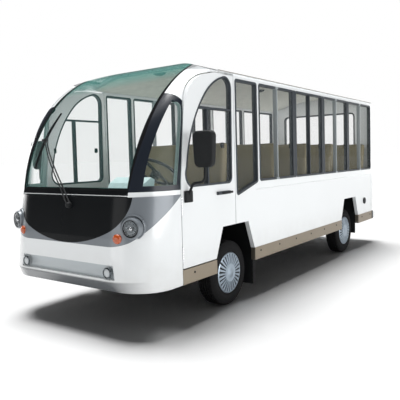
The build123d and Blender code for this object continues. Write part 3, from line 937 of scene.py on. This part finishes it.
def wiper_blade():
    edge = []
    spine = []
    for part in range(BLADE_PARTS + 1):
        share = part / BLADE_PARTS
        y, z = part_way(BLADE_LOW, BLADE_HIGH, share)
        edge.append(ahead_of_screen(y, z, BLADE_GAP))
        spine.append(ahead_of_screen(y, z, SPINE_GAP + SPINE_BOW * math.sin(math.pi * share)))
    return [bar("wiper_blade", edge, BLADE_R), bar("wiper_spine", spine, SPINE_R)]


class MINIBUS_OT_wiper(bpy.types.Operator):
    """Make the twin-arm windscreen wiper"""

    bl_idname = "minibus.wiper"
    bl_label = "Wiper"

    def execute(self, context):
        middle = part_way(BLADE_LOW, BLADE_HIGH, 0.5)
        pieces = wiper_rods(middle) + wiper_blade()
        hub = turned("wiper_hub", HUB_LINE, 28)
        seat = Matrix.Translation((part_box("wiper")[1].x - HUB_SEAT, *WIPER_FOOT))
        hub.data.transform(seat @ turn(90, "Y"))
        pieces.append(hub)
        yoke_at = ahead_of_screen(*middle, YOKE_GAP) - Vector((FRONT_AXLE_X, 0, 0))
        pieces.append(slab("wiper_yoke", *zip(yoke_at - YOKE_BACK, yoke_at + YOKE_FRONT), 0.004))
        done(joined("wiper_set", pieces), ROOT, "black_plastic")
        return {"FINISHED"}


BOLT_LINE = ((0, 0.0045), (0.004, 0.0043), (0.0075, 0.003), (0.009, 0.001), (0.009, -0.001), (0, -0.001))
BOLT_Z = 0.418
BOLT_OUT = 0.004
BOLT_X = (0.62, 0.26, -0.42, -0.8, -1.18, -1.56, -1.94, -2.32, -3.27, -3.62)
# Blocks are given as their ranges forward of the front axle, to the left and up
SILL_END = ((-3.748, -3.7), (0.755, SIDE_Y + 0.007), (0.347, 0.455))
# Corners of the bead on the side panel, as (forward of the front axle, up)
BEAD_CORNERS = ((-0.36, 0.985), (-3.68, 0.985), (-3.68, 0.52))
BEAD_R = 0.004
WAIST_Z = 1.03
WAIST_HALF = 0.6
WAIST_PARTS = 40
WAIST_R = 0.0032
# Grey sheet in the bumper recess, standing for the shade in it
TROUGH_SHADE_SHEET = ((1.189, 1.1915), (-0.512, 0.512), (0.4415, 0.5415))
# Side windows, rearward in turn: rear edge, front edge
WINDOWS = ((-1.163, -0.431), (-1.926, -1.211), (-2.741, -1.97), (-3.672, -2.777))
WINDOW_Z = (1.056, 1.95)
COVER_JOINT = 0.002
COVER_Y = (SIDE_Y - 0.001, SIDE_Y + 0.0024)
LATCH_IN = 0.034
LATCH_HALF = 0.012
LATCH_Y = (0.757, 0.776)
LATCH_Z = (1.358, 1.408)
# Grey line in the rain gutter, painted shade
GUTTER_Z = 1.9895
GUTTER_FRONT = 0.238
GUTTER_SHADE_R = 0.0045
BUMPER_END_Y = (0.695, 0.785)
BUMPER_END_Z = (0.345, 0.462)
MUD_FLAP = ((-0.3665, -0.36), (0.564, 0.741), (0.108, 0.3))
NOSE_TRAY = ((0.74, 1.13), (-0.6, 0.6), (0.362, 0.3695))


def sill_trim():
    """Bolts along the sill strips and black caps at their rear ends."""
    places = []
    for x in BOLT_X:
        places.append(Matrix.Translation(at_axle(x, SIDE_Y + BOLT_OUT, BOLT_Z)) @ turn(-90, "X"))
    both_sides(repeated("sill_bolts", BOLT_LINE, 14, places), "black_plastic")
    both_sides(slab("sill_end", *SILL_END, 0.004), "black_plastic")


def panel_bead():
    """Raised bead along the top and rear of the side panel."""
    points = [at_axle(x, SIDE_Y + 0.0005, z) for x, z in BEAD_CORNERS]
    beads = []
    for ends in zip(points, points[1:]):
        beads.append(bar("bead", ends, BEAD_R, smooth=False))
    both_sides(joined("panel_bead", beads), "white_shell")


def nose_trim():
    """White line under the windscreen, and a grey sheet in the bumper recess as painted shade."""
    line = []
    for part in range(WAIST_PARTS + 1):
        line.append(ahead_of_screen(-WAIST_HALF + 2 * WAIST_HALF * part / WAIST_PARTS, WAIST_Z, 0.0))
    done(bar("waist_line", line, WAIST_R), ROOT, "white_shell", "waist_white")
    # Painted shade: a grey sheet in the bumper recess
    done(slab("trough", *TROUGH_SHADE_SHEET, 0.0008), ROOT, "white_shell", "trough_grey")


def window_trim():
    """Dark covers on the pillars between the side windows, and a latch at each pane's end."""
    covers = []
    for (front, _), (_, rear) in zip(WINDOWS, WINDOWS[1:]):
        middle = (front + rear) / 2
        for xs in ((rear, middle - COVER_JOINT), (middle + COVER_JOINT, front)):
            covers.append(slab("pillar_cover", xs, COVER_Y, WINDOW_Z, 0.0008))
    latches = []
    for rear, front in WINDOWS:
        for x in (rear + LATCH_IN, front - LATCH_IN):
            latches.append(slab("latch", (x - LATCH_HALF, x + LATCH_HALF), LATCH_Y, LATCH_Z, 0.004))
    both_sides(joined("pillar_cover", covers), "frame_black")
    both_sides(joined("window_latch", latches), "black_plastic")


def gutter_shade_lines():
    """Grey line along the rain gutters, painted shade in the gutter."""
    roof_low, roof_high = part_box("roof")
    y = roof_high.y - 0.0015
    run = [(roof_low.x + 0.004, y, GUTTER_Z), (FRONT_AXLE_X + GUTTER_FRONT, y, GUTTER_Z)]
    # Painted shade: a thin grey bar in the gutter
    shade_line = bar("gutter_seal", run, GUTTER_SHADE_R, smooth=False)
    both_sides(shade_line, "frame_black", coat="gutter_grey")


def ends_and_underside():
    """Rounded ends of the rear bumper, mud flaps and the tray under the nose."""
    bumper_low, bumper_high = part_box("rear_bumper")
    xs = (bumper_low.x - FRONT_AXLE_X + 0.012, bumper_high.x - FRONT_AXLE_X - 0.002)
    end = slab("bumper_end", xs, BUMPER_END_Y, BUMPER_END_Z, 0.02, segments=4)
    both_sides(end, "white_shell")
    both_sides(slab("mud_flap", *MUD_FLAP, 0.002), "black_plastic")
    done(slab("nose_tray", *NOSE_TRAY, 0.002), ROOT, "chassis_paint")


class MINIBUS_OT_trim(bpy.types.Operator):
    """Make the bolts, beads, window covers, painted gutter shade, bumper ends, mud flaps and nose tray"""

    bl_idname = "minibus.trim"
    bl_label = "Trim"

    def execute(self, context):
        sill_trim()
        panel_bead()
        nose_trim()
        window_trim()
        gutter_shade_lines()
        ends_and_underside()
        return {"FINISHED"}


KNUCKLE_LINE = ((0, 0.0), (0.0045, 0.0), (0.0052, 0.0015), (0.0052, 0.0175), (0.0045, 0.019), (0, 0.019))
HINGE_X = 0.761
HINGE_OUT = 0.0035
# Hinges: lower end, number of knuckles
HINGES = ((0.86, 7), (0.51, 6))
KNUCKLE_PITCH = 0.02
CATCH_X = (0.652, 0.135)
# Catch blocks: name, half width, reach in Y, in Z, edge radius
CATCH_BLOCKS = (
    ("catch", 0.014, (0.748, 0.769), (1.362, 1.408), 0.005),
    ("catch_tab", 0.006, (0.738, 0.752), (1.372, 1.398), 0.003),
)
MIRROR_Y = 0.9535
MIRROR_HEAD_AT = (0.676, MIRROR_Y, 1.35)
MIRROR_HEAD = (0.058, 0.188, 0.268)
MIRROR_TAPER = 0.84
MIRROR_CORNER_R = 0.044
MIRROR_ARM_R = 0.01
MIRROR_ARM = (
    (0.686, 0.805, 1.01), (0.69, 0.835, 1.06), (0.69, 0.85, 1.098), (0.69, 0.89, 1.104),
    (0.684, 0.93, 1.108), (0.678, 0.952, 1.13), (0.676, 0.9535, 1.17), (0.676, 0.9535, 1.235),
)
MIRROR_FOOT = ((0.642, 0.728), (SIDE_Y, SIDE_Y + 0.024), (0.956, 1.044))
MIRROR_FACE = ((0.6445, 0.6485), (MIRROR_Y - 0.062, MIRROR_Y + 0.062), (1.242, 1.462))
HANDLE_GRIP = ((0.08, 0.24), (SIDE_Y + 0.018, SIDE_Y + 0.03), (0.986, 1.004))


def door_hinges():
    places = []
    for low, count in HINGES:
        for number in range(count):
            spot = at_axle(HINGE_X, SIDE_Y + HINGE_OUT, low + KNUCKLE_PITCH * number)
            places.append(Matrix.Translation(spot))
    hinges = repeated("door_hinges", KNUCKLE_LINE, 14, places)
    both_sides(hinges, "sill_metal", DOOR_BODIES, "lamp_chrome")


def window_catches():
    catches = []
    for x in CATCH_X:
        for name, half, ys, zs, edge in CATCH_BLOCKS:
            catches.append(slab(name, (x - half, x + half), ys, zs, edge))
    both_sides(joined("window_catch", catches), "black_plastic", DOOR_BODIES)


def mirror_head():
    """A head narrower at its foot, with round corners as seen from behind."""
    middle = at_axle(*MIRROR_HEAD_AT)
    head = start("cube", "mirror_head", scale=MIRROR_HEAD, size=1, location=middle)
    for vertex in head.data.vertices:
        if vertex.co.z < middle.z:
            vertex.co.y = MIRROR_Y + (vertex.co.y - MIRROR_Y) * MIRROR_TAPER
    corners = head.data.attributes.new("bevel_weight_edge", "FLOAT", "EDGE")
    for edge in head.data.edges:
        first, last = (head.data.vertices[number].co for number in edge.vertices)
        corners.data[edge.index].value = float(abs(first.x - last.x) > MIRROR_HEAD[0] / 2)
    shape(head, "BEVEL", width=MIRROR_CORNER_R, segments=7, limit_method="WEIGHT")
    return soften(head, 0.014, segments=4)


def mirrors():
    arm = bar("mirror_arm", [at_axle(*point) for point in MIRROR_ARM], MIRROR_ARM_R)
    foot = slab("mirror_foot", *MIRROR_FOOT, 0.006, segments=3)
    mirror = joined("mirror_set", [mirror_head(), arm, foot])
    both_sides(mirror, "black_plastic", DOOR_BODIES)
    for side, _ in SIDES:
        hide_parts("mirror_" + side)
    both_sides(slab("mirror_face", *MIRROR_FACE, 0.0012), "lamp_chrome", DOOR_BODIES)


class MINIBUS_OT_doors(bpy.types.Operator):
    """Make the door hinges, window catches, mirrors and handle grips"""

    bl_idname = "minibus.doors"
    bl_label = "Doors"

    def execute(self, context):
        door_hinges()
        window_catches()
        mirrors()
        grip = slab("handle_grip", *HANDLE_GRIP, 0.005, segments=3)
        both_sides(grip, "black_plastic", DOOR_BODIES)
        return {"FINISHED"}


LINING_X = (-3.66, 0.16)
LINING_WIDTH = 1.4
LINING_CELLS = 24
LINING_DROP = 0.012
LINING_THICKNESS = 0.006
HEAD_HEIGHT = 1.5
DOME_LINE = ((0, -0.028), (0.03, -0.026), (0.055, -0.016), (0.062, -0.004), (0.066, 0.0), (0, 0.0))
DOME_X = (0.02, -1.9)
DOME_DROP = 0.014
GAUGE_LINE = ((0.03, 0.0), (0.03, 0.006), (0.034, 0.006), (0.036, 0.0))
GAUGE_Y = (0.3, 0.38, 0.46)
GAUGE_X, GAUGE_Z = 0.788, 1.095
GAUGE_TILT = -105


def roof_lining():
    """A thin sheet that follows the roof from below."""
    rear, front = LINING_X
    lining = start("grid", "roof_lining", x_subdivisions=LINING_CELLS, y_subdivisions=LINING_CELLS, size=1)
    for vertex in lining.data.vertices:
        x = FRONT_AXLE_X + rear + (vertex.co.x + 0.5) * (front - rear)
        y = vertex.co.y * LINING_WIDTH
        spot = touch(("roof", "windscreen"), (x, y, HEAD_HEIGHT), UP)
        vertex.co = (x, y, spot.z - LINING_DROP)
    shape(lining, "SOLIDIFY", thickness=LINING_THICKNESS, offset=0.0)
    done(lining, ROOT, "dash_plastic", "lining")


def dome_lamps():
    places = []
    for x in DOME_X:
        spot = touch(("roof",), at_axle(x, 0.0, HEAD_HEIGHT), UP)
        places.append(Matrix.Translation((spot.x, 0.0, spot.z - DOME_DROP)))
    done(repeated("dome_lamps", DOME_LINE, 32, places), ROOT, "black_plastic", "frame_black")


def gauge_rings():
    places = []
    for y in GAUGE_Y:
        places.append(Matrix.Translation(at_axle(GAUGE_X, y, GAUGE_Z)) @ turn(GAUGE_TILT, "Y"))
    done(repeated("gauge_rings", GAUGE_LINE, 28, places), ROOT, "lamp_chrome")


class MINIBUS_OT_cabin(bpy.types.Operator):
    """Make the roof lining, dome lamps and gauge rings"""

    bl_idname = "minibus.cabin"
    bl_label = "Cabin"

    def execute(self, context):
        roof_lining()
        dome_lamps()
        gauge_rings()
        return {"FINISHED"}


SKY_COLOUR = (0.97, 0.985, 1, 1)
SKY_LIGHT = 0.09
BACKDROP_COLOUR = (1, 1, 1, 1)
FLOOR_SIZE = 400
FLOOR_TONES = ((0.95, 0.95, 0.95), (0.97, 0.97, 0.97))
CEILING_PLACE = (0, 0, 9)
CEILING_LIGHT = 3.4
CEILING_SPREAD = 32
CEILING_AIM = (0.1, 0.18, -1)
# Light panels: name, place, width, height, power
PANELS = (
    ("Side panel", (0.5, 8.0, 1.6), 8.0, 2.5, 330.0),
    ("Front panel", (8.0, -1.0, 1.6), 4.0, 2.5, 60.0),
    ("Far panel", (0.0, -8.0, 2.0), 8.0, 2.5, 240.0),
    ("Rear panel", (-8.0, 0.5, 2.0), 4.0, 2.5, 90.0),
    ("Overhead panel", (0.0, 0.0, 7.0), 9.0, 6.0, 320.0),
)
PANEL_AIM = (0, 0, 1.0)
SENSOR_MM = 36
CAMERA_PLACE = (3.7444, 3.0999, 1.2921)
CAMERA_YAW = 3.7795
CAMERA_PITCH = 0.055
CAMERA_ROLL = -0.0271
CAMERA_SHIFT = (0.02186, -0.036)


def studio_sky(scene):
    """A dim sky for the light, seen by the camera as plain white."""
    world = bpy.data.worlds.new("Studio")
    world.use_nodes = True
    nodes, links = world.node_tree.nodes, world.node_tree.links
    light_sky = nodes["Background"]
    light_sky.inputs["Color"].default_value = SKY_COLOUR
    light_sky.inputs["Strength"].default_value = SKY_LIGHT
    plain_sky = nodes.new("ShaderNodeBackground")
    plain_sky.inputs["Color"].default_value = BACKDROP_COLOUR
    path = nodes.new("ShaderNodeLightPath")
    blend = nodes.new("ShaderNodeMixShader")
    links.new(path.outputs["Is Camera Ray"], blend.inputs[0])
    links.new(light_sky.outputs[0], blend.inputs[1])
    links.new(plain_sky.outputs[0], blend.inputs[2])
    links.new(blend.outputs[0], nodes["World Output"].inputs["Surface"])
    scene.world = world
    scene.view_settings.view_transform = "Standard"


def pale_floor():
    floor = start("plane", "pale_floor", size=FLOOR_SIZE, location=(0, 0, 0))
    cover = Finish("Pale floor")
    first, second = FLOOR_TONES
    tone = cover.mix(cover.noise(scale=0.6, detail=3.0), first, second)
    cover.set(Base_Color=tone, Roughness=0.7)
    floor.data.materials.append(cover.material)
    return floor


def all_but(name, piece):
    """A collection that keeps a light off one object."""
    kept_dark = bpy.data.collections.new(name)
    kept_dark.objects.link(piece)
    kept_dark.collection_objects[0].light_linking.link_state = "EXCLUDE"
    return kept_dark


def add_light(kind, name, place, aim, power, receivers):
    deselect()
    bpy.ops.object.light_add(type=kind, location=place)
    lamp = bpy.context.object
    lamp.name = name
    lamp.data.energy = power
    lamp.light_linking.receiver_collection = receivers
    lamp.rotation_euler = aim.to_track_quat("-Z", "Y").to_euler()
    return lamp.data


def studio_lights(floor):
    """A wide light from above that skips the roof, and panels that skip the floor."""
    off_floor = all_but("Out of the panel light", floor)
    off_roof = all_but("Out of the ceiling light", frame["nodes"]["roof"])
    ceiling = add_light("SUN", "Ceiling light", CEILING_PLACE, Vector(CEILING_AIM), CEILING_LIGHT, off_roof)
    ceiling.angle = math.radians(CEILING_SPREAD)
    for name, place, width, height, power in PANELS:
        aim = Vector(PANEL_AIM) - Vector(place)
        panel = add_light("AREA", name, place, aim, power, off_floor)
        panel.shape = "RECTANGLE"
        panel.size = width
        panel.size_y = height


def photo_camera(scene):
    view = bpy.data.cameras.new("Photo camera")
    camera = bpy.data.objects.new("Photo camera", view)
    scene.collection.objects.link(camera)
    view.sensor_width = SENSOR_MM
    view.lens = scene.minibus_sizes.lens_mm
    view.shift_x, view.shift_y = CAMERA_SHIFT
    heading = Matrix.Rotation(CAMERA_YAW - math.pi / 2, 4, "Z")
    tilt = Matrix.Rotation(math.pi / 2 - CAMERA_PITCH, 4, "X")
    roll = Matrix.Rotation(CAMERA_ROLL, 4, "Z")
    camera.matrix_world = Matrix.Translation(at_axle(*CAMERA_PLACE)) @ heading @ tilt @ roll
    scene.camera = camera


class MINIBUS_OT_stage(bpy.types.Operator):
    """Set up the camera, the pale floor and the soft studio lights"""

    bl_idname = "minibus.stage"
    bl_label = "Stage"

    def execute(self, context):
        studio_sky(context.scene)
        studio_lights(pale_floor())
        photo_camera(context.scene)
        return {"FINISHED"}


class MINIBUS_PT_panel(bpy.types.Panel):
    bl_label = "Minibus"
    bl_idname = "MINIBUS_PT_panel"
    bl_space_type = "VIEW_3D"
    bl_region_type = "UI"
    bl_category = "Minibus"

    def draw(self, context):
        for step in STEPS:
            self.layout.operator(step.bl_idname)
        for group in (context.scene.minibus_sizes, context.scene.minibus_colours):
            for key in group.bl_rna.properties.keys():
                if key not in {"rna_type", "name"}:
                    self.layout.prop(group, key)


STEPS = (
    MINIBUS_OT_finishes,
    MINIBUS_OT_wheels,
    MINIBUS_OT_seats,
    MINIBUS_OT_lamps,
    MINIBUS_OT_wiper,
    MINIBUS_OT_trim,
    MINIBUS_OT_doors,
    MINIBUS_OT_cabin,
    MINIBUS_OT_stage,
)
CLASSES = (MinibusSizes, MinibusColours, *STEPS, MINIBUS_PT_panel)


def register():
    for kind in CLASSES:
        bpy.utils.register_class(kind)
    bpy.types.Scene.minibus_sizes = PointerProperty(type=MinibusSizes)
    bpy.types.Scene.minibus_colours = PointerProperty(type=MinibusColours)


def unregister():
    del bpy.types.Scene.minibus_colours
    del bpy.types.Scene.minibus_sizes
    for kind in reversed(CLASSES):
        bpy.utils.unregister_class(kind)


def main():
    register()
    for step in STEPS:
        family, action = step.bl_idname.split(".")
        getattr(getattr(bpy.ops, family), action)()


if __name__ == "__main__":
    main()
